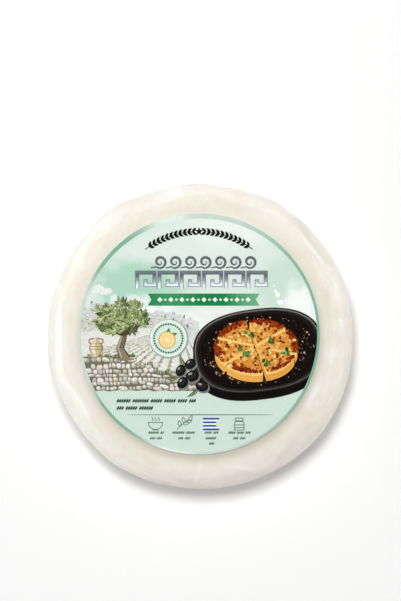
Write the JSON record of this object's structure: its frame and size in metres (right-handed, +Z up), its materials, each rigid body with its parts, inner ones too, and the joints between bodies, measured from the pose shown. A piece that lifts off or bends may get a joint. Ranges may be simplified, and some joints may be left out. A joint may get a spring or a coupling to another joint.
{
  "type": "cheese wheel",
  "caption": "Round wheel of white frying cheese in tight clear shrink film, with soft shoulders and a round mint-green label on its top face.",
  "frame": {"origin": "centre of the flat underside that the wheel rests on", "axes": "+Z up through the wheel's thickness to its labelled face; +Y towards the top of the label; +X to the right of someone who reads the label"},
  "size_m": [0.1278, 0.1282, 0.0386],
  "materials": {
    "film_over_cheese": "gloss",
    "label_paper": "satin"
  },
  "bodies": {
    "root": {"packed_wheel": "film_over_cheese", "label": "label_paper"}
  },
  "joints": []
}
